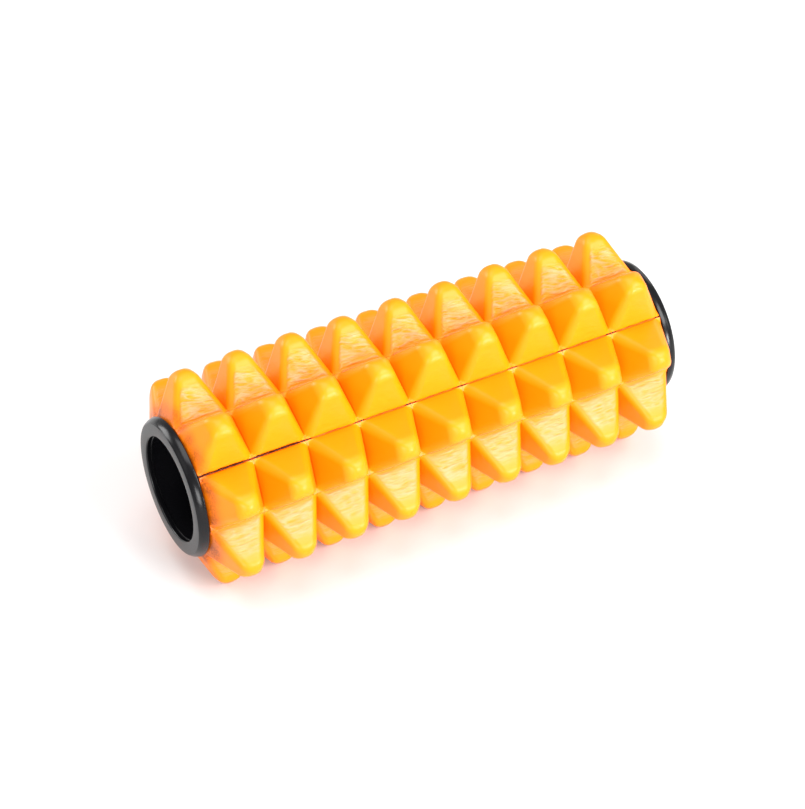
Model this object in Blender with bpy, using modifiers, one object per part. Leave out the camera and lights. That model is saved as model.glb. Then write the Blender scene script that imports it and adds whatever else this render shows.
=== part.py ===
"""A hollow-core massage roller: a moulded foam sleeve of pyramids on a plastic tube with two end rings.

The roller's axis lies along X through the origin, which is at its centre. It rests on two rows of
pyramids, so the axis is level and the floor would be at the lowest tips. All sizes are in metres.
"""

import math

import bmesh
import bpy
from mathutils import Vector

# Foam sleeve
ROWS = 8  # rows of pyramids round the roller
COLUMNS = 9  # pyramids in each row
PITCH = 0.0352  # length of one pyramid along the axis
VALLEY_RADIUS = 0.045  # axis to a crossing of two grooves
TIP_RADIUS = 0.070  # axis to a pyramid's tip
DOME_RADIUS = 0.0090  # round tip of a pyramid
RIDGE_RADIUS = 0.0063  # rounding of a pyramid's four ridges
SEAM_WIDTH = 0.0013  # slit where the sheet's two long edges meet
SEAM_ANGLE = math.radians(-45.0)  # the slit faces up and to the front
TILE_STOPS = (0.0, 0.25, 0.52, 0.82, 1.0)  # mesh lines from a pyramid's centre to its edge

# Core tube, end rings and adhesive
GAP = 0.0003  # left between pieces that touch
CORE_RADIUS = 0.0388
CORE_WALL = 0.0030
FILM_THICKNESS = 0.0004
FLANGE_REACH = 0.0066  # foam's end to the ring's front face
FLANGE_RADIUS = 0.04425  # widest circle of the ring, near its back
FLANGE_WIDEST = 0.0014  # foam's end to that circle
FACE_RADIUS = 0.0418  # outer edge of the ring's flat front face
BACK_RADIUS = 0.0436  # outer edge of the flange's back face
SIDE_BULGE = 0.0003  # how far the flange's side stands out from a straight cone
BORE_RADIUS = 0.0333
LIP_DEPTH = 0.0033  # depth of the bore's narrow lip behind the front face
SPIGOT_DEPTH = 0.0160  # how far the ring reaches into the tube
SPIGOT_WALL = 0.0016
SPIGOT_LEAD = 0.0008  # chamfer that leads the spigot into the tube

TURN_STEPS = 8 * ROWS  # facets of every turned piece, in line with the sleeve's inner facets
MERGE = 0.00001

# Worked out from the sizes above
ROW_ANGLE = 2.0 * math.pi / ROWS
SLEEVE_HALF = COLUMNS * PITCH / 2.0
CORE_INNER = CORE_RADIUS - CORE_WALL
FILM_INNER = CORE_RADIUS + GAP
FILM_OUTER = FILM_INNER + FILM_THICKNESS
SLEEVE_INNER = FILM_OUTER + GAP
FACET_RADIUS = VALLEY_RADIUS * math.cos(ROW_ANGLE / 2.0)  # axis to a pyramid's flat base
FACET_HALF = VALLEY_RADIUS * math.sin(ROW_ANGLE / 2.0)
PYRAMID_HEIGHT = TIP_RADIUS - FACET_RADIUS


def clear_scene():
    for old in list(bpy.data.objects):
        bpy.data.objects.remove(old, do_unlink=True)


def new_collection(name):
    collection = bpy.data.collections.new(name)
    bpy.context.scene.collection.children.link(collection)
    return collection


def new_material(name, colour, roughness):
    material = bpy.data.materials.new(name)
    material.use_nodes = True
    shader = material.node_tree.nodes["Principled BSDF"]
    shader.inputs["Base Color"].default_value = (*colour, 1.0)
    shader.inputs["Roughness"].default_value = roughness
    shader.inputs["Metallic"].default_value = 0.0
    return material


def new_object(name, mesh, material, collection):
    mesh.materials.append(material)
    piece = bpy.data.objects.new(name, mesh)
    collection.objects.link(piece)
    return piece


def mesh_from(bm, name):
    mesh = bpy.data.meshes.new(name)
    bm.normal_update()
    bm.to_mesh(mesh)
    bm.free()
    return mesh


def outward(angle):
    """The direction away from the axis. 0 is the front, and -90 degrees is straight up."""
    return Vector((0.0, -math.cos(angle), -math.sin(angle)))


def sideways(angle):
    """The direction in which the angle grows."""
    return Vector((0.0, math.sin(angle), -math.cos(angle)))


def flank_angle(half_width):
    """The slope of a pyramid's flat flanks, which run from its edge to touch the round tip."""
    rise = PYRAMID_HEIGHT - DOME_RADIUS
    return math.atan2(rise, half_width) + math.asin(DOME_RADIUS / math.hypot(half_width, rise))


def ring_distance(across, along):
    """Distance from a pyramid's centre, in level lines that are squares with rounded corners."""
    across, along = abs(across), abs(along)
    wide = max(across, along)
    corner = RIDGE_RADIUS * (1.0 - math.exp(-wide / RIDGE_RADIUS))
    if abs(across - along) >= corner:
        return wide
    spread = math.sqrt(2.0 * corner**2 - (across - along) ** 2)
    return corner + (across + along - spread) / 2.0


def pyramid_height(across, along):
    """Height above the flat base at a place given from -1 to 1 each way across one pyramid."""
    half_width = PITCH / 2.0
    slope = flank_angle(half_width)
    distance = ring_distance(across * half_width, along * half_width)
    if distance < DOME_RADIUS * math.sin(slope):
        return PYRAMID_HEIGHT - DOME_RADIUS + math.sqrt(DOME_RADIUS**2 - distance**2)
    return max(0.0, (half_width - distance) * math.tan(slope))


def tile_lines(tiles):
    """Each mesh line across a run of tiles, as its tile's number and its place from -1 to 1."""
    stops = [-stop for stop in reversed(TILE_STOPS[1:])] + list(TILE_STOPS)
    lines = [(tile, stop) for tile in range(tiles) for stop in stops[:-1]]
    return [*lines, (tiles - 1, 1.0)]


def seam_shift(row, across):
    """Half the slit's width, on the two edges of the sheet that face each other."""
    if row == 0 and across == -1.0:
        return SEAM_WIDTH / 2.0
    if row == ROWS - 1 and across == 1.0:
        return -SEAM_WIDTH / 2.0
    return 0.0


def sleeve_point(row_line, column_line, outside):
    """A vertex of the sleeve's outer relief, or of its round inner face."""
    row, across = row_line
    column, along = column_line
    x = (column + (along + 1.0) / 2.0) * PITCH - SLEEVE_HALF
    middle = SEAM_ANGLE + (row + 0.5) * ROW_ANGLE
    edge = middle + across * ROW_ANGLE / 2.0
    if outside:
        height = FACET_RADIUS + pyramid_height(across, along)
        point = outward(middle) * height + sideways(middle) * across * FACET_HALF
    else:
        point = outward(edge) * SLEEVE_INNER
    point += sideways(edge) * seam_shift(row, across)
    return Vector((x, 0.0, 0.0)) + point


def grid_place(point, row_lines, column_lines):
    """The row line and column line that a point of a flat two-unit grid stands for."""
    i = round((point.x + 1.0) / 2.0 * (len(column_lines) - 1))
    j = round((point.y + 1.0) / 2.0 * (len(row_lines) - 1))
    return row_lines[j], column_lines[i]


def build_sleeve(material, collection):
    """One moulded sheet of pyramids, bent round the tube until its long edges meet."""
    row_lines = tile_lines(ROWS)
    column_lines = tile_lines(COLUMNS)
    bm = bmesh.new()
    bmesh.ops.create_grid(
        bm,
        x_segments=len(column_lines) - 1,
        y_segments=len(row_lines) - 1,
        size=1.0,
    )
    inner_verts = list(bm.verts)
    lifted = bmesh.ops.extrude_face_region(bm, geom=list(bm.faces), use_keep_orig=True)["geom"]
    outer_verts = [item for item in lifted if isinstance(item, bmesh.types.BMVert)]
    outer_faces = [item for item in lifted if isinstance(item, bmesh.types.BMFace)]
    reach = {}
    for outside, verts in ((False, inner_verts), (True, outer_verts)):
        for vertex in verts:
            row_line, column_line = grid_place(vertex.co, row_lines, column_lines)
            vertex.co = sleeve_point(row_line, column_line, outside)
            reach[vertex] = abs(row_line[1]) + abs(column_line[1])
    for face in outer_faces:
        corners = sorted(face.verts, key=reach.get)
        bmesh.utils.face_split(face, corners[0], corners[-1])
    outer = set(outer_verts)
    bmesh.ops.dissolve_limit(
        bm,
        angle_limit=math.radians(0.5),
        verts=inner_verts,
        edges=[edge for edge in bm.edges if not outer.intersection(edge.verts)],
    )
    bmesh.ops.recalc_face_normals(bm, faces=bm.faces)
    mesh = mesh_from(bm, "foam_sleeve")
    mesh.shade_smooth()
    mesh.set_sharp_from_angle(angle=math.radians(50.0))
    return new_object("foam_sleeve", mesh, material, collection)


def turned_mesh(name, outline):
    """A closed outline of (radius, height) points, clockwise, drawn for a turn about Z."""
    bm = bmesh.new()
    points = [bm.verts.new((radius, 0.0, height)) for radius, height in outline]
    for first, second in zip(points, points[1:] + points[:1]):
        bm.edges.new((first, second))
    return mesh_from(bm, name)


def turn(piece):
    """Turns an object's outline into a solid."""
    screw = piece.modifiers.new("turn", "SCREW")
    screw.axis = "Z"
    screw.angle = 2.0 * math.pi
    screw.steps = TURN_STEPS
    screw.render_steps = TURN_STEPS
    screw.use_merge_vertices = True
    screw.merge_threshold = MERGE
    screw.use_smooth_shade = True
    piece.modifiers.new("shading", "WEIGHTED_NORMAL")


def pipe_outline(inner, outer, half_length):
    return [(inner, half_length), (outer, half_length), (outer, -half_length), (inner, -half_length)]


def build_pipe(name, inner, outer, half_length, material, collection):
    outline = pipe_outline(inner, outer, half_length)
    piece = new_object(name, turned_mesh(name, outline), material, collection)
    piece.rotation_euler = (0.0, math.radians(90.0), 0.0)
    turn(piece)
    return piece


def flange_side(steps):
    """The flange's outer side, a slightly round cone from its front edge to its widest circle."""
    points = []
    for step in range(steps + 1):
        share = step / steps
        bulge = SIDE_BULGE * math.sin(math.pi * share)
        radius = FACE_RADIUS + (FLANGE_RADIUS - FACE_RADIUS) * share + bulge
        height = FLANGE_REACH + (FLANGE_WIDEST - FLANGE_REACH) * share
        points.append((radius, height))
    return points


def ring_outline():
    """An end ring's section. Height 0 is the foam's end, and the front face looks up."""
    spigot_outer = CORE_INNER - GAP
    spigot_inner = spigot_outer - SPIGOT_WALL
    lip_back = FLANGE_REACH - LIP_DEPTH
    return [
        (BORE_RADIUS, FLANGE_REACH),
        *flange_side(4),
        (BACK_RADIUS, GAP),
        (spigot_outer, GAP),
        (spigot_outer, SPIGOT_LEAD - SPIGOT_DEPTH),
        (spigot_outer - SPIGOT_LEAD, -SPIGOT_DEPTH),
        (spigot_inner, -SPIGOT_DEPTH),
        (spigot_inner, lip_back - (spigot_inner - BORE_RADIUS)),
        (BORE_RADIUS, lip_back),
    ]


def build_end_ring(name, side, mesh, material, collection):
    """One of two equal mouldings. side is -1 at the left end and 1 at the right end."""
    piece = new_object(name, mesh, material, collection)
    piece.location = (side * SLEEVE_HALF, 0.0, 0.0)
    piece.rotation_euler = (0.0, side * math.radians(90.0), 0.0)
    turn(piece)
    return piece


def build_seam_adhesive(material, collection):
    """The bead of cement that fills the slit between the sheet's two long edges."""
    low = SLEEVE_INNER
    high = VALLEY_RADIUS - 2.0 * GAP
    bpy.ops.mesh.primitive_cube_add(size=1.0)
    piece = bpy.context.active_object
    piece.name = "seam_adhesive"
    piece.data.name = "seam_adhesive"
    for vertex in piece.data.vertices:
        vertex.co.x *= 2.0 * SLEEVE_HALF
        vertex.co.y *= SEAM_WIDTH - 2.0 * GAP
        vertex.co.z *= high - low
    piece.data.materials.append(material)
    piece.location = outward(SEAM_ANGLE) * (low + high) / 2.0
    piece.rotation_euler = (-SEAM_ANGLE, 0.0, 0.0)
    for home in list(piece.users_collection):
        home.objects.unlink(piece)
    collection.objects.link(piece)
    return piece


def main():
    clear_scene()
    collection = new_collection("foam_roller")
    foam = new_material("orange_foam", (1.0, 0.42, 0.02), 0.5)
    ring_plastic = new_material("satin_black_plastic", (0.02, 0.02, 0.022), 0.35)
    core_plastic = new_material("matt_black_plastic", (0.01, 0.01, 0.01), 0.6)
    cement = new_material("dried_cement", (0.36, 0.09, 0.03), 0.4)

    pieces = [
        build_sleeve(foam, collection),
        build_pipe("core_tube", CORE_INNER, CORE_RADIUS, SLEEVE_HALF, core_plastic, collection),
        build_pipe("sleeve_adhesive", FILM_INNER, FILM_OUTER, SLEEVE_HALF, cement, collection),
        build_seam_adhesive(cement, collection),
    ]
    ring_mesh = turned_mesh("end_ring", ring_outline())
    for name, side in (("left_end_ring", -1.0), ("right_end_ring", 1.0)):
        pieces.append(build_end_ring(name, side, ring_mesh, ring_plastic, collection))

    centre = bpy.data.objects.new("foam_roller", None)
    collection.objects.link(centre)
    for piece in pieces:
        piece.parent = centre


main()
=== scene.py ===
"""The looks of a hollow-core massage roller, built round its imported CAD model.

Lengths are in metres. The axis runs along X and the front faces -Y. An angle round the axis starts
at the front and goes downwards there, so -90 degrees is the top. Rows of pyramids are numbered from
the seam towards greater angles.
"""

import math

import bpy
import numpy as np
from mathutils import Matrix, Vector


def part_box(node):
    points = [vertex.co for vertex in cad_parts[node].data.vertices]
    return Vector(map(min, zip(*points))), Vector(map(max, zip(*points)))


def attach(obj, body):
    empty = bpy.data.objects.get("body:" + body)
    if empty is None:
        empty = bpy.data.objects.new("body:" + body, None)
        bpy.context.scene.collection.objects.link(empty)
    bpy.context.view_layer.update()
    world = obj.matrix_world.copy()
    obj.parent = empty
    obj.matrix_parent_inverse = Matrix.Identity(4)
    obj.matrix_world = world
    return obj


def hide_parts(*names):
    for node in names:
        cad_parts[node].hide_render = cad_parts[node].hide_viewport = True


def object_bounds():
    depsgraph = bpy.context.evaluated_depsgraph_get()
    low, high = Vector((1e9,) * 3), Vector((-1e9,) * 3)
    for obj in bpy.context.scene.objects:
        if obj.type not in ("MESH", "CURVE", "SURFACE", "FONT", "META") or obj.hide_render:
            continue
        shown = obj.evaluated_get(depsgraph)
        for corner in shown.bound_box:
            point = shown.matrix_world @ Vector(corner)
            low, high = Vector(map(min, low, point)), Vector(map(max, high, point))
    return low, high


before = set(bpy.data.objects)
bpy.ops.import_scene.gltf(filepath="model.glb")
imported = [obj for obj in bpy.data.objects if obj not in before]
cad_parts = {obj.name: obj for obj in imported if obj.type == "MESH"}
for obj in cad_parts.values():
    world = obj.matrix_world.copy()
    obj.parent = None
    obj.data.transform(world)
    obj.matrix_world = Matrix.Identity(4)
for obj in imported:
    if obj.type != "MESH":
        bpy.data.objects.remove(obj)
cad_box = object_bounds()

# The design's counts, and sizes read from the frame
ROWS = 8
COLUMNS = 9
SLEEVE_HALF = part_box("foam_sleeve")[1].x
PITCH = 2.0 * SLEEVE_HALF / COLUMNS
HALF_PITCH = PITCH / 2.0
FLOOR = cad_box[0].z
CORE_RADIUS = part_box("core_tube")[1].z
FILM_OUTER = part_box("sleeve_adhesive")[1].z
FLANGE_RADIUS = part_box("left_end_ring")[1].z
FLANGE_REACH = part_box("right_end_ring")[1].x - SLEEVE_HALF
SPIGOT_DEPTH = SLEEVE_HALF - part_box("right_end_ring")[0].x

# Gaps and walls, the same as the CAD model's
GAP = 0.0003
CORE_WALL = 0.0030
SPIGOT_WALL = 0.0016
SLEEVE_INNER = FILM_OUTER + GAP
CORE_INNER = CORE_RADIUS - CORE_WALL

# Foam relief: a pyramid with a round tip and round ridges on each facet of an eight-sided sleeve
VALLEY_RADIUS = 0.045
TIP_RADIUS = 0.070
DOME_RADIUS = 0.0090
RIDGE_RADIUS = 0.0063
SEAM_ANGLE = math.radians(-45.0)
ROW_ANGLE = 2.0 * math.pi / ROWS
FACET_RADIUS = VALLEY_RADIUS * math.cos(ROW_ANGLE / 2.0)
FACET_HALF = VALLEY_RADIUS * math.sin(ROW_ANGLE / 2.0)
PYRAMID_HEIGHT = TIP_RADIUS - FACET_RADIUS
LEAN = 0.00035  # how far tips stand off their places, as one standard deviation
HEIGHT_SPREAD = 0.008  # the same for heights, as a share
SWELL_DEPTH = 0.00010
CREASE_DEPTH = 0.00052
CREASE_BEND = 0.0013
CREASE_TILT = 0.26

# Random fields of the creases: the seed, and a cell's size along the axis and up the flank
BEND_FIELD = (11, 0.0075, 0.0060)
COARSE_FIELD = (12, 0.0048, 0.00092)
RIDGED_FIELD = (13, 0.0055, 0.00150)
PATCHY_FIELD = (14, 0.0080, 0.0070)

# Other seeds
LEAN_SEED = 5
SWELL_SEED = 21
SLIT_SEED = 31
RAGGED_SEED = 41
CRUMB_SEED = 42
RUBBED_SEED = 51
EDGE_DARKENING_SEED = 52

# Mesh spacing: across a creased flank, over a tip, and along the axis
FINE_STEP = 0.00046
DOME_STEP = 0.0010
LONG_STEP = 0.0023

# The seam: how far its slit and its bead of cement reach up and down from the middle of the groove,
# and what is added towards the left end and where the grooves cross
SLIT_UP = 0.00032
SLIT_WAVER = 0.00012
SLIT_UP_LEFT = 0.00042
SLIT_UP_CROSSING = 0.00045
SLIT_DOWN = 0.00012
BEAD_UP = 0.00028
BEAD_UP_LEFT = 0.00040
BEAD_UP_CROSSING = 0.00020
BEAD_DOWN = 0.00002
BEAD_SINK = 0.0014
BEAD_STEPS = 620

# Where each change in the seam starts and over what width: along the axis towards the left end, and
# as a distance from a groove crossing
SEAM_FADES = {
    "slit": ((-0.084, 0.012), (0.0046, 0.0016)),
    "bead": ((-0.088, 0.012), (0.0042, 0.0020)),
    "sunk": ((-0.080, 0.012), (0.0055, 0.003)),
    "stain_and_shade": ((-0.088, 0.014), (0.0044, 0.0014)),
}

# Dirt and painted contact shadow by the left ring: how strong it is, and where it starts and over
# what width, along the axis and in height above the facet
GRIME_AND_SHADE = 1.25
GRIME_AND_SHADE_ALONG = (-0.1480, 0.0090)
GRIME_AND_SHADE_HEIGHT = (0.016, 0.010)
# Painted shade at the inner face's points, which deepens down the slit's walls and the end walls
INNER_SHADE = 1.2

# End rings: the face's radius at each end, and the radii of the bore and of the flange's back
LEFT_FACE = 0.0418
RIGHT_FACE = 0.0430
BORE_RADIUS = 0.0333
BACK_RADIUS = 0.0436
FLANGE_WIDEST = 0.0014  # height of the flange's widest point above the foam's end
FLANGE_BULGE = 0.0005
LIP_DEPTH = 0.0033

# Steps round the axis, and the angles above which an edge stays sharp
RING_STEPS = 256
CORE_STEPS = 192
FOAM_SHARP = math.radians(38.0)
PLASTIC_SHARP = math.radians(40.0)
CEMENT_SHARP = math.radians(50.0)

# How deeply a flank is creased, and how strongly painted sheen pales its colour, by its row and the
# side that it faces, where 1 is towards greater angles. The painted sheen is strongest on the
# flanks that face the key light.
FLANK_CREASE_AND_SHEEN = {
    (6, 1): (1.0, 0.46),
    (1, -1): (0.42, 0.72),
    (7, 1): (0.16, 0.04),
    (0, -1): (0.08, 0.0),
    (0, 1): (0.5, 0.3),
    (6, -1): (0.4, 0.2),
    (5, 1): (0.4, 0.3),
}
USUAL_CREASE_AND_SHEEN = (0.5, 0.35)

# Softboxes: direction from the roller, distance, width and height, and power in watts
LIGHTS = {
    "key": ((0.35, -0.67, 0.70), 2.4, (1.3, 1.3), 63.0),
    "low_front": ((0.36, -0.93, 0.12), 1.9, (0.50, 0.42), 29.5),
    "left": ((-0.80, 0.0, 0.60), 2.2, (1.2, 1.0), 2.5),
    "overhead": ((-0.1, 0.05, 1.0), 2.2, (1.6, 1.6), 38.0),
    "back_left": ((-0.55, 0.75, 0.38), 2.2, (1.0, 1.0), 28.0),
    "front_left": ((-0.45, -0.85, 0.27), 2.2, (1.0, 0.8), 31.0),
    "back_right": ((0.75, 0.55, 0.40), 2.2, (1.0, 1.0), 5.0),
    "right": ((0.82, -0.47, 0.30), 2.2, (0.5, 0.5), 4.0),
}
WORLD_STRENGTH = 0.52
FLOOR_HALF = 6.0

# Camera: where it stands from the roller, in degrees and metres, and its lens in millimetres
CAMERA_AZIMUTH = -27.86
CAMERA_ELEVATION = 40.75
CAMERA_ROLL = 0.26
CAMERA_DISTANCE = 1.805
CAMERA_OFFSET = (-0.00585, -0.00010, 0.0)  # to its own right, up and back
CAMERA_LENS = 129.67
CAMERA_SENSOR = 36.0


# ---------------------------------------------------------------- noise and small helpers


def smooth(t):
    """An even S-shaped step, from 0 where t is 0 to 1 where t is 1."""
    t = np.clip(t, 0.0, 1.0)
    return t * t * (3.0 - 2.0 * t)


def above(value, start, width):
    """0 up to start, rising to 1 over width."""
    return smooth((value - start) / width)


def below(value, start, width):
    """0 down to start, rising to 1 over width beneath it."""
    return smooth((start - value) / width)


def noise(u, v, seed):
    """Smooth value noise from -1 to 1, one random value to each unit cell corner."""
    iu, iv = np.floor(u).astype(int), np.floor(v).astype(int)
    low_u, low_v = iu.min(), iv.min()
    size = (iu.max() - low_u + 2, iv.max() - low_v + 2)
    table = np.random.default_rng(seed).uniform(-1.0, 1.0, size)
    fu, fv = smooth(u - iu), smooth(v - iv)
    iu, iv = iu - low_u, iv - low_v
    near = table[iu, iv] * (1.0 - fu) + table[iu + 1, iv] * fu
    far = table[iu, iv + 1] * (1.0 - fu) + table[iu + 1, iv + 1] * fu
    return near * (1.0 - fv) + far * fv


def outward(angle):
    """The direction away from the axis at an angle round it."""
    return np.stack([np.zeros_like(angle), -np.cos(angle), -np.sin(angle)], -1)


def sideways(angle):
    """The direction round the axis, towards greater angles."""
    return np.stack([np.zeros_like(angle), np.sin(angle), -np.cos(angle)], -1)


def mesh_object(name, points, faces, smooth_angle=None):
    mesh = bpy.data.meshes.new(name)
    mesh.from_pydata([tuple(p) for p in points], [], faces)
    mesh.update()
    if smooth_angle is not None:
        mesh.shade_smooth()
        mesh.set_sharp_from_angle(angle=smooth_angle)
    piece = bpy.data.objects.new(name, mesh)
    bpy.context.scene.collection.objects.link(piece)
    return piece


def add_layer(piece, name, values):
    """Stores a number for each point, for the materials to read."""
    layer = piece.data.attributes.new(name, "FLOAT", "POINT")
    layer.data.foreach_set("value", values)


# ---------------------------------------------------------------- foam relief


def flank_angle():
    rise = PYRAMID_HEIGHT - DOME_RADIUS
    return math.atan2(rise, HALF_PITCH) + math.asin(DOME_RADIUS / math.hypot(HALF_PITCH, rise))


SLOPE = flank_angle()
DOME_REACH = DOME_RADIUS * math.sin(SLOPE)


def tile_stops(flank_step):
    """Places from 0 at a pyramid's centre to 1 at its edge, even along its surface."""
    dome = max(3, round(DOME_RADIUS * SLOPE / DOME_STEP))
    on_dome = DOME_RADIUS * np.sin(SLOPE * np.arange(dome) / dome)
    width = HALF_PITCH - DOME_REACH
    count = round(width / math.cos(SLOPE) / flank_step)
    on_flank = DOME_REACH + width * np.arange(count + 1) / count
    return np.concatenate([on_dome, on_flank]) / HALF_PITCH


def tile_lines(tiles, flank_step):
    """Mesh lines across a run of tiles, as tile numbers and places from -1 to 1."""
    stops = tile_stops(flank_step)
    stops = np.concatenate([-stops[:0:-1], stops])
    tile = np.repeat(np.arange(tiles), len(stops) - 1)
    place = np.tile(stops[:-1], tiles)
    return np.append(tile, tiles - 1), np.append(place, 1.0)


def ring_distance(across, along):
    """Distance from a pyramid's centre, in level lines that are squares with round corners."""
    across, along = np.abs(across), np.abs(along)
    wide = np.maximum(across, along)
    corner = RIDGE_RADIUS * (1.0 - np.exp(-wide / RIDGE_RADIUS))
    inside = np.maximum(2.0 * corner**2 - (across - along) ** 2, 0.0)
    round_off = corner + (across + along - np.sqrt(inside)) / 2.0
    return np.where(np.abs(across - along) >= corner, wide, round_off)


def relief(across, along):
    """Height above the facet, from places between -1 and 1 on a pyramid's tile."""
    distance = ring_distance(across * HALF_PITCH, along * HALF_PITCH)
    on_dome = np.sqrt(np.maximum(DOME_RADIUS**2 - distance**2, 0.0))
    dome = PYRAMID_HEIGHT - DOME_RADIUS + on_dome
    flank = np.maximum(0.0, (HALF_PITCH - distance) * math.tan(SLOPE))
    return np.where(distance < DOME_REACH, dome, flank)


def seam_fades(x, what):
    """How far a change in the seam has gone, towards the left end and near a groove crossing."""
    left, crossing = SEAM_FADES[what]
    distance = np.abs(((x + SLEEVE_HALF) / PITCH + 0.5) % 1.0 - 0.5) * PITCH
    return below(x, *left), below(distance, *crossing)


# ---------------------------------------------------------------- foam wear


def flank_crease_and_sheen(row, side):
    """How creased the flank is at each mesh point, and how strongly painted sheen pales it."""
    table = np.empty((ROWS, 2, 2))
    table[:] = USUAL_CREASE_AND_SHEEN
    for (listed_row, listed_side), values in FLANK_CREASE_AND_SHEEN.items():
        table[listed_row, (listed_side + 1) // 2] = values
    return np.moveaxis(table[row, (side + 1) // 2], -1, 0)


def crease_map(row, side, x, local, climb):
    """Creases as heights, about -1 in a trough and 1 on a crest.

    local is the distance along the axis from the tile's middle, and climb the distance up the flank
    from its groove. Creases run along the axis, and tilt on the flanks that face greater angles.
    """
    lane = row * 40.0 + side * 17.0  # keeps the flanks' creases apart from each other

    def field(setting, up):
        seed, cell_along, cell_up = setting
        return noise(x / cell_along + lane, up / cell_up, seed)

    tilt = CREASE_TILT * local * above(climb, 0.003, 0.009)
    climb = climb + np.where(side > 0, tilt, 0.0)
    shifted = climb + CREASE_BEND * field(BEND_FIELD, climb)
    coarse = field(COARSE_FIELD, shifted)
    ridged = 1.0 - 2.0 * np.abs(field(RIDGED_FIELD, shifted)) ** 0.8
    patchy = 0.75 + 0.25 * field(PATCHY_FIELD, climb)
    return (0.60 * coarse + 0.55 * ridged) * patchy


def grime_and_shade_map(row, across, x, height):
    """Dirt and painted contact shadow where the first pyramids meet the left ring's flange."""
    rubbed = 0.7 + 0.3 * noise(x / 0.0045, (row + across / 2.0) * 7.0, RUBBED_SEED)
    return GRIME_AND_SHADE * below(x, *GRIME_AND_SHADE_ALONG) * below(height, *GRIME_AND_SHADE_HEIGHT) * rubbed


def darken_seam_edges(grime_and_shade, x):
    """Darkens the seam's edges at the left end and where the grooves cross, with cement stain and
    painted shade in the slit.
    """
    left, crossing = seam_fades(x, "stain_and_shade")
    darkened = np.maximum(left, 0.8 * crossing)
    darkened *= 0.8 + 0.3 * noise(x / 0.0017, x * 0.0, EDGE_DARKENING_SEED)
    for line, share in ((0, 1.0), (1, 0.5), (-1, 1.0), (-2, 0.9)):
        grime_and_shade[line] = np.maximum(grime_and_shade[line], 1.2 * share * darkened)


# ---------------------------------------------------------------- foam sleeve


def slit_opening(x):
    """How far the seam's slit reaches up from the middle of its groove."""
    left, crossing = seam_fades(x, "slit")
    opening = SLIT_UP + SLIT_WAVER * noise(x / 0.004, x * 0.0, SLIT_SEED)
    return opening + SLIT_UP_LEFT * left + SLIT_UP_CROSSING * crossing


def surface_normals(points, away):
    """Unit normals of a grid of points, on the side of the directions in away."""
    normal = np.cross(np.gradient(points, axis=0), np.gradient(points, axis=1))
    normal /= np.linalg.norm(normal, axis=-1, keepdims=True) + 1e-12
    return -normal if (normal * away).sum() < 0.0 else normal


def grid_faces(index):
    """A face for each cell of a grid of point numbers."""
    corners = [index[:-1, :-1], index[1:, :-1], index[1:, 1:], index[:-1, 1:]]
    return np.stack(corners, -1).reshape(-1, 4).tolist()


def close_sleeve(points, index, edge, x, opening):
    """Adds the sleeve's inner face, its end walls and the walls of its slit to the outer face.

    index numbers the outer face's points, and edge is the angle of each of its lines along the
    axis. The inner face is round, with one long facet to each of those lines.
    """
    faces = grid_faces(index)
    rows, cols = index.shape
    last_row, last_col = rows - 1, cols - 1
    inner_ends = []
    for end in (-1, 1):
        ring = outward(edge) * SLEEVE_INNER
        ring[:, 0] = end * SLEEVE_HALF
        ring[0] += sideways(edge[0]) * SLIT_DOWN
        ring[-1] -= sideways(edge[-1]) * opening[0 if end < 0 else -1]
        inner_ends.append((len(points) + np.arange(rows)).tolist())
        points = np.vstack([points, ring])
    left, right = inner_ends

    seam_lines = []
    for line, shift in ((0, SLIT_DOWN + x * 0.0), (-1, -opening)):
        inner = outward(edge[line] + x * 0.0) * SLEEVE_INNER
        inner += sideways(edge[line] + x * 0.0) * shift[:, None]
        inner[:, 0] = x
        numbers = (len(points) + np.arange(cols - 2)).tolist()
        points = np.vstack([points, inner[1:-1]])
        seam_lines.append([left[line], *numbers, right[line]])
    first, last = seam_lines

    outer = index.tolist()
    for k in range(last_row):
        faces.append([outer[k + 1][0], outer[k][0], left[k], left[k + 1]])
        faces.append([outer[k][-1], outer[k + 1][-1], right[k + 1], right[k]])
    for k in range(last_col):
        faces.append([outer[0][k], outer[0][k + 1], first[k + 1], first[k]])
        faces.append([outer[-1][k + 1], outer[-1][k], last[k], last[k + 1]])
    for k in range(1, last_row - 1):
        faces.append([left[k + 1], left[k], right[k], right[k + 1]])
    faces.append([left[1], *first, right[1]])
    faces.append([right[last_row - 1], *reversed(last), left[last_row - 1]])
    return points, faces


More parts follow.
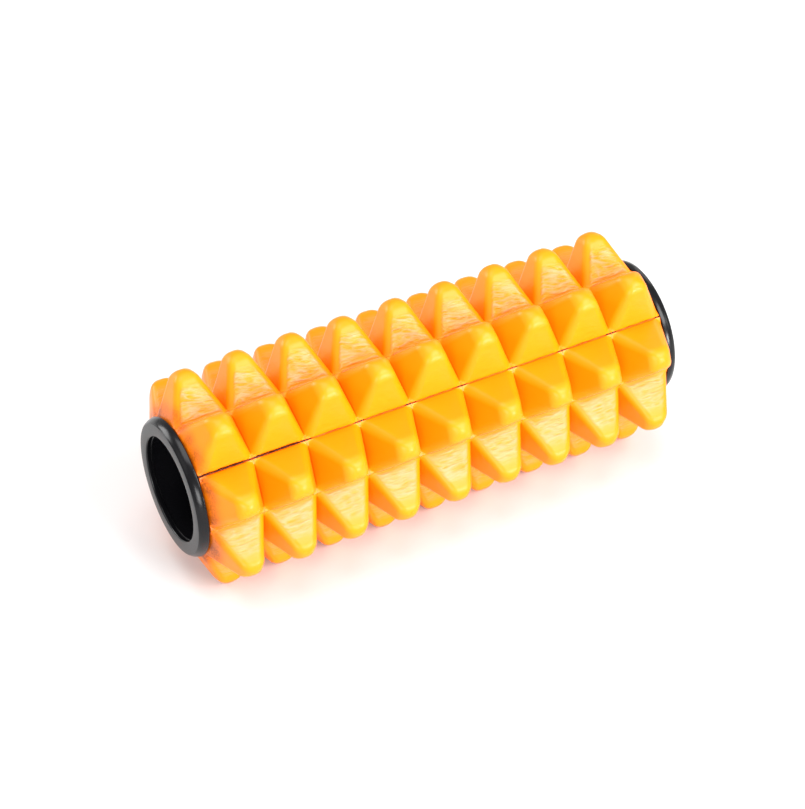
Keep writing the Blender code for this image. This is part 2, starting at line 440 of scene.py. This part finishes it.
def build_sleeve():
    row, across = tile_lines(ROWS, FINE_STEP)
    column, along = tile_lines(COLUMNS, LONG_STEP)
    edge = SEAM_ANGLE + (row + (across + 1.0) / 2.0) * ROW_ANGLE
    x = (column + (along + 1.0) / 2.0) * PITCH - SLEEVE_HALF
    across2, along2 = np.meshgrid(across, along, indexing="ij")
    row2, column2 = np.meshgrid(row, column, indexing="ij")
    x2 = np.broadcast_to(x, across2.shape)

    # The seam's slit is cut from the flank above it, by squeezing the mesh lines that it takes
    opening = slit_opening(x)
    limit = 1.0 - opening / FACET_HALF
    cut = (row2 == ROWS - 1) & (across2 > limit)
    across2 = np.where(cut, limit + 0.05 * (across2 - limit), across2)

    # Pyramids lean and differ a little, as soft mouldings do
    height = relief(across2, along2)
    lean = np.random.default_rng(LEAN_SEED).normal(0.0, 1.0, (3, ROWS, COLUMNS))
    share = height / PYRAMID_HEIGHT
    lean_x = LEAN * lean[0][row2, column2] * share**2
    lean_side = LEAN * lean[1][row2, column2] * share**2
    height = height * (1.0 + HEIGHT_SPREAD * lean[2][row2, column2] * share)

    middle = SEAM_ANGLE + (row2 + 0.5) * ROW_ANGLE
    points = outward(middle) * (FACET_RADIUS + height)[..., None]
    points += sideways(middle) * (across2 * FACET_HALF + lean_side)[..., None]
    points[..., 0] = x2 + lean_x
    normal = surface_normals(points, outward(middle))

    # Creases on the flanks that face round the roller, clear of ridges, tips and grooves
    a, b = np.abs(across2) * HALF_PITCH, np.abs(along2) * HALF_PITCH
    side = np.where(across2 > 0.0, 1, -1)
    climb = (HALF_PITCH - a) / math.cos(SLOPE)
    zone = above(a - b, 0.0020, 0.0020) * above(climb, 0.0014, 0.0018)
    zone *= above(a - DOME_REACH, 0.0002, 0.0022)
    depth, sheen_strength = flank_crease_and_sheen(row2, side)
    crease = crease_map(row2, side, x2, along2 * HALF_PITCH, climb)
    swell = SWELL_DEPTH * noise(x2 / 0.011, (row2 * 7.0 + across2) * 2.1, SWELL_SEED)
    swell = swell * above(height, 0.0, 0.004)
    points += normal * (crease * depth * zone * CREASE_DEPTH + swell)[..., None]

    # Painted sheen on the creased flanks, paler on the crease crests as painted highlights
    painted_sheen = zone * sheen_strength * np.clip(0.75 + 2.6 * crease * depth, 0.0, 2.2)
    # Dirt with painted contact shadow by the left ring
    grime_and_shade = grime_and_shade_map(row2, across2, x2, height)
    # Cement stain and painted shade on the seam's edges
    darken_seam_edges(grime_and_shade, x)
    gap = np.maximum(HALF_PITCH - np.maximum(a, b), 0.0)

    points[0] += sideways(np.full(len(x), SEAM_ANGLE)) * SLIT_DOWN
    points[..., 2] = np.maximum(points[..., 2], FLOOR)
    index = np.arange(across2.size).reshape(across2.shape)
    points, faces = close_sleeve(points.reshape(-1, 3), index, edge, x, opening)
    piece = mesh_object("foam_sleeve_skin", points, faces, FOAM_SHARP)

    # Each layer has one number for all the points of the inner face; for the darkening layer it is
    # painted shade, which deepens down the slit's walls and the end walls
    spare = len(points) - index.size
    for name, values, hidden in (
        ("painted_sheen", painted_sheen, 0.0),
        ("grime_and_shade", grime_and_shade, INNER_SHADE),
        ("creased", zone * depth, 0.0),
        ("gap", gap, 1.0),
    ):
        add_layer(piece, name, np.append(values.reshape(-1), np.full(spare, hidden)))
    return piece


# ---------------------------------------------------------------- turned pieces


def turned(name, outline, steps):
    """Turns a closed outline of (radius, x) points about the X axis."""
    outline = np.array(outline)
    angle = 2.0 * math.pi * np.arange(steps) / steps
    points = outward(angle)[:, None, :] * outline[None, :, 0, None]
    points[..., 0] = outline[None, :, 1]
    count = len(outline)
    faces = []
    for i in range(steps):
        here, there = i * count, (i + 1) % steps * count
        for j in range(count):
            k = (j + 1) % count
            faces.append([here + j, here + k, there + k, there + j])
    return mesh_object(name, points.reshape(-1, 3), faces, PLASTIC_SHARP)


def arc(centre, radius, start, stop, steps):
    """Points on an arc in (radius, height), angles in degrees from the outward direction."""
    turns = np.radians(np.linspace(start, stop, steps + 1))
    return [(centre[0] + radius * math.cos(t), centre[1] + radius * math.sin(t)) for t in turns]


def ring_outline(face):
    """An end ring's section. Height 0 is the foam's end, and the front face looks up."""
    bore_edge, face_edge, rim_edge, small = 0.0009, 0.0004, 0.0006, 0.0004
    lip_edge, lip_blend, taper = 0.0008, 0.0012, 0.0008
    lip_back = FLANGE_REACH - LIP_DEPTH
    spigot_outer = CORE_INNER - GAP
    spigot_inner = spigot_outer - SPIGOT_WALL
    side = []
    side_steps = 12
    for step in range(1, side_steps):
        share = step / side_steps
        bulge = FLANGE_BULGE * math.sin(math.pi * share)
        radius = face + (FLANGE_RADIUS - face) * share + bulge
        side.append((radius, FLANGE_REACH + (FLANGE_WIDEST - FLANGE_REACH) * share))
    return [
        *arc((BORE_RADIUS + bore_edge, FLANGE_REACH - bore_edge), bore_edge, 180, 90, 7),
        *arc((face - face_edge, FLANGE_REACH - face_edge), face_edge, 90, 25, 4),
        *side,
        *arc((FLANGE_RADIUS - rim_edge, FLANGE_WIDEST - 0.0003), rim_edge, 15, -60, 5),
        (BACK_RADIUS - small, GAP),
        (spigot_outer + small, GAP),
        *arc((spigot_outer + small, GAP - small), small, 90, 180, 3),
        (spigot_outer, taper - SPIGOT_DEPTH),
        (spigot_outer - taper, -SPIGOT_DEPTH),
        (spigot_inner, -SPIGOT_DEPTH),
        *arc((spigot_inner - lip_blend, lip_back - lip_blend), lip_blend, 0, 60, 4),
        *arc((BORE_RADIUS + lip_edge, lip_back + lip_edge), lip_edge, 240, 180, 4),
    ]


def build_ring(name, end, face):
    outline = [(r, end * (SLEEVE_HALF + h)) for r, h in ring_outline(face)]
    if end < 0:
        outline.reverse()
    return turned(name, outline, RING_STEPS)


def build_core():
    half = SLEEVE_HALF
    edge = 0.0004
    outline = [
        (CORE_INNER, half - edge),
        (CORE_INNER + edge, half),
        (CORE_RADIUS - edge, half),
        (CORE_RADIUS, half - edge),
        (CORE_RADIUS, edge - half),
        (CORE_RADIUS - edge, -half),
        (CORE_INNER + edge, -half),
        (CORE_INNER, edge - half),
    ]
    return turned("core_tube_wall", outline, CORE_STEPS)


# ---------------------------------------------------------------- seam cement


def build_seam_bead():
    """Dried cement in the slit, sunk at the left end and the crossings and else near flush."""
    reach = SLEEVE_HALF - 0.0002
    x = np.linspace(-reach, reach, BEAD_STEPS)
    sunk = np.maximum(*seam_fades(x, "sunk"))
    ragged = noise(x / 0.0035, x * 0.0, RAGGED_SEED)
    crumbs = above(noise(x / 0.0024, x * 0.0, CRUMB_SEED) * 2.0, 0.8, 1.0)
    top = VALLEY_RADIUS - 0.0001 - BEAD_SINK * sunk + 0.0004 * ragged
    top += 0.0006 * crumbs * (1.0 - sunk)
    left, crossing = seam_fades(x, "bead")
    high = -BEAD_UP - BEAD_UP_LEFT * left - BEAD_UP_CROSSING * crossing

    # Its section has a flat top with bevelled corners, as shares of its width and height
    corners = ((0.0, 0.0), (0.0, 0.93), (0.2, 1.0), (0.8, 1.0), (1.0, 0.93), (1.0, 0.0))
    bottom = SLEEVE_INNER + 0.0002
    away = outward(np.full(BEAD_STEPS, SEAM_ANGLE))
    round_axis = sideways(np.full(BEAD_STEPS, SEAM_ANGLE))
    section = []
    for width, level in corners:
        radius = bottom + (top - bottom) * level
        offset = high + (BEAD_DOWN - high) * width
        points = away * radius[:, None] + round_axis * offset[:, None]
        points[:, 0] = x
        section.append(points)
    section = np.stack(section, 1)
    count = section.shape[1]
    faces = []
    for i in range(BEAD_STEPS - 1):
        here, there = i * count, (i + 1) * count
        for j in range(count):
            k = (j + 1) % count
            faces.append([here + j, here + k, there + k, there + j])
    faces.append(list(range(count))[::-1])
    faces.append([(BEAD_STEPS - 1) * count + j for j in range(count)])
    piece = mesh_object("seam_cement", section.reshape(-1, 3), faces, CEMENT_SHARP)
    add_layer(piece, "sunk", np.repeat(sunk, count))
    return piece


# ---------------------------------------------------------------- materials


RING_BLACK = (0.0035, 0.0034, 0.0042)
CORE_BLACK = (0.002, 0.002, 0.002)


def rgba(red, green, blue):
    return (red, green, blue, 1.0)


class Nodes:
    """Short calls for building a material's node tree."""

    def __init__(self, name, **values):
        self.material = bpy.data.materials.new(name)
        self.material.use_nodes = True
        self.tree = self.material.node_tree
        self.shader = self.tree.nodes["Principled BSDF"]
        for key, value in values.items():
            self.shader.inputs[key].default_value = value

    def add(self, kind, inputs=(), **settings):
        node = self.tree.nodes.new(kind)
        for key, value in settings.items():
            setattr(node, key, value)
        for key, value in dict(inputs).items():
            if isinstance(value, bpy.types.NodeSocket):
                self.tree.links.new(value, node.inputs[key])
            else:
                node.inputs[key].default_value = value
        return node

    def math(self, operation, a, b):
        return self.add("ShaderNodeMath", {0: a, 1: b}, operation=operation).outputs[0]

    def clamp(self, value):
        return self.add("ShaderNodeClamp", {0: value}).outputs[0]

    def mix(self, share, a, b):
        node = self.add("ShaderNodeMix", {0: share, 6: a, 7: b}, data_type="RGBA")
        return node.outputs[2]

    def place(self, scale=(1.0, 1.0, 1.0)):
        coordinates = self.add("ShaderNodeTexCoord").outputs["Object"]
        return self.add("ShaderNodeMapping", {"Vector": coordinates, "Scale": scale}).outputs[0]

    def noise(self, vector, scale, detail=2.0, roughness=0.5):
        values = {"Vector": vector, "Scale": scale, "Detail": detail, "Roughness": roughness}
        return self.add("ShaderNodeTexNoise", values).outputs[0]

    def attribute(self, name):
        return self.add("ShaderNodeAttribute", attribute_name=name).outputs["Fac"]

    def bump(self, height, strength, distance, normal=None):
        values = {"Height": height, "Strength": strength, "Distance": distance}
        if normal is not None:
            values["Normal"] = normal
        return self.add("ShaderNodeBump", values).outputs[0]

    def scaled(self, value, factor, offset):
        """value times factor, plus offset."""
        return self.math("ADD", self.math("MULTIPLY", value, factor), offset)

    def link(self, socket, name):
        self.tree.links.new(socket, self.shader.inputs[name])


def foam_material():
    """Satin orange foam, with painted sheen on creased flanks, dirt and painted contact shadow by
    the ring, and painted shade with dirt in its grooves.
    """
    n = Nodes("orange_foam", IOR=1.32)
    place = n.place()
    cloud = n.noise(place, 38.0, 3.0)
    orange, amber = rgba(0.98, 0.205, 0.0), rgba(1.0, 0.235, 0.0)
    sheen_cream, dirt_and_shade = rgba(1.0, 0.27, 0.105), rgba(0.30, 0.055, 0.003)
    groove_shade_orange = rgba(0.70, 0.085, 0.0)
    base = n.mix(cloud, orange, amber)
    # Painted sheen, paler on the crease crests as painted highlights
    base = n.mix(n.attribute("painted_sheen"), base, sheen_cream)
    # Dirt mixed with painted contact shadow by the ring, and painted shade on the seam's edges and
    # down the slit and end walls
    spread = n.math("ADD", n.noise(n.place((500.0, 900.0, 900.0)), 1.0, 2.0), 0.25)
    stain_and_shade = n.math("MULTIPLY", n.attribute("grime_and_shade"), spread)
    base = n.mix(stain_and_shade, base, dirt_and_shade)
    # Painted shade with dirt along the grooves, darkest at each groove line
    groove_width = 0.00055
    groove = n.clamp(n.math("SUBTRACT", 1.0, n.math("DIVIDE", n.attribute("gap"), groove_width)))
    base = n.mix(n.math("MULTIPLY", groove, 0.65), base, groove_shade_orange)
    n.link(base, "Base Color")
    skin = n.noise(place, 2600.0, 2.0)
    ripple = n.noise(n.place((170.0, 900.0, 900.0)), 1.0, 2.0, 0.55)
    creased = n.bump(n.math("MULTIPLY", ripple, n.attribute("creased")), 1.0, 0.0009)
    n.link(n.bump(skin, 0.10, 0.00008, creased), "Normal")
    n.link(n.scaled(cloud, 0.10, 0.32), "Roughness")
    return n.material


def plastic_material(name, colour, roughness, ior):
    """Moulded plastic with a faint grain. roughness is its lowest and highest value."""
    n = Nodes(name, IOR=ior)
    place = n.place()
    cloud = n.noise(place, 55.0, 3.0)
    dark = tuple(0.8 * c for c in colour)
    n.link(n.mix(cloud, rgba(*dark), rgba(*colour)), "Base Color")
    low, high = roughness
    n.link(n.scaled(cloud, high - low, low), "Roughness")
    n.link(n.bump(n.noise(place, 1800.0, 2.0), 0.15, 0.00006), "Normal")
    return n.material


def cement_material():
    """Contact cement, dark where it is sunk and pinkish where a thin layer has dried on foam."""
    n = Nodes("dried_cement", IOR=1.3)
    patches = n.noise(n.place((260.0, 400.0, 400.0)), 1.0, 2.0)
    share = n.clamp(n.math("MULTIPLY", n.math("SUBTRACT", patches, 0.52), 7.0))
    flush = n.mix(share, rgba(0.95, 0.19, 0.0), rgba(0.78, 0.20, 0.06))
    sunk = n.mix(share, rgba(0.085, 0.012, 0.001), rgba(0.40, 0.070, 0.006))
    n.link(n.mix(n.attribute("sunk"), flush, sunk), "Base Color")
    n.link(n.scaled(patches, 0.2, 0.35), "Roughness")
    n.link(n.bump(n.noise(n.place((700.0, 900.0, 900.0)), 1.0, 2.0), 0.5, 0.0002), "Normal")
    return n.material


def floor_material():
    n = Nodes("white_floor", Roughness=0.9, IOR=1.2)
    cloud = n.noise(n.place(), 3.0)
    n.link(n.mix(cloud, rgba(0.595, 0.595, 0.595), rgba(0.61, 0.61, 0.61)), "Base Color")
    return n.material


# ---------------------------------------------------------------- stage, lights and camera


def area_light(name, towards, distance, size, power):
    """A softbox that stands in the given direction from the roller and faces it."""
    direction = Vector(towards).normalized()
    data = bpy.data.lights.new(name, "AREA")
    data.shape = "RECTANGLE"
    data.size, data.size_y = size
    data.energy = power
    light = bpy.data.objects.new(name, data)
    light.location = direction * distance
    light.rotation_euler = direction.to_track_quat("Z", "Y").to_euler()
    bpy.context.scene.collection.objects.link(light)


def build_world(strength):
    world = bpy.data.worlds.new("studio")
    world.use_nodes = True
    background = world.node_tree.nodes["Background"]
    background.inputs[0].default_value = rgba(1.0, 1.0, 1.0)
    background.inputs[1].default_value = strength
    bpy.context.scene.world = world


def build_floor(material):
    signs = ((-1, -1), (1, -1), (1, 1), (-1, 1))
    corners = [(FLOOR_HALF * x, FLOOR_HALF * y, FLOOR) for x, y in signs]
    floor = mesh_object("studio_floor", corners, [[0, 1, 2, 3]])
    floor.data.materials.append(material)


def build_camera():
    azimuth, elevation = math.radians(CAMERA_AZIMUTH), math.radians(CAMERA_ELEVATION)
    back = Vector((
        math.sin(azimuth) * math.cos(elevation),
        -math.cos(azimuth) * math.cos(elevation),
        math.sin(elevation),
    ))
    level = back.to_track_quat("Z", "Y")
    turn = level.to_matrix() @ Matrix.Rotation(-math.radians(CAMERA_ROLL), 3, "Z")
    data = bpy.data.cameras.new("camera")
    data.sensor_width = CAMERA_SENSOR
    data.lens = CAMERA_LENS
    camera = bpy.data.objects.new("camera", data)
    camera.location = back * CAMERA_DISTANCE + turn @ Vector(CAMERA_OFFSET)
    camera.rotation_euler = turn.to_euler()
    bpy.context.scene.collection.objects.link(camera)
    bpy.context.scene.camera = camera


def put(piece, material, slot, *nodes):
    """Gives a piece its material and hides the CAD nodes that it stands for. slot is not used."""
    piece.data.materials.clear()
    piece.data.materials.append(material)
    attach(piece, "root")
    if nodes:
        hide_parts(*nodes)


def main():
    foam = foam_material()
    ring_plastic = plastic_material("satin_black_plastic", RING_BLACK, (0.18, 0.26), 1.33)
    core_plastic = plastic_material("matt_black_plastic", CORE_BLACK, (0.75, 0.85), 1.2)
    cement = cement_material()

    sleeve = build_sleeve()
    put(sleeve, foam, "foam", "foam_sleeve")
    left_ring = build_ring("left_ring_moulding", -1, LEFT_FACE)
    put(left_ring, ring_plastic, "ring_plastic", "left_end_ring")
    right_ring = build_ring("right_ring_moulding", 1, RIGHT_FACE)
    put(right_ring, ring_plastic, "ring_plastic", "right_end_ring")
    put(build_core(), core_plastic, "core_plastic", "core_tube")
    put(build_seam_bead(), cement, "cement", "seam_adhesive")
    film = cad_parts["sleeve_adhesive"]
    film.data.materials.clear()
    film.data.materials.append(cement)

    build_floor(floor_material())
    build_world(WORLD_STRENGTH)
    for name, (towards, distance, size, power) in LIGHTS.items():
        area_light(name, towards, distance, size, power)
    build_camera()
    bpy.context.scene.view_settings.view_transform = "Standard"


main()
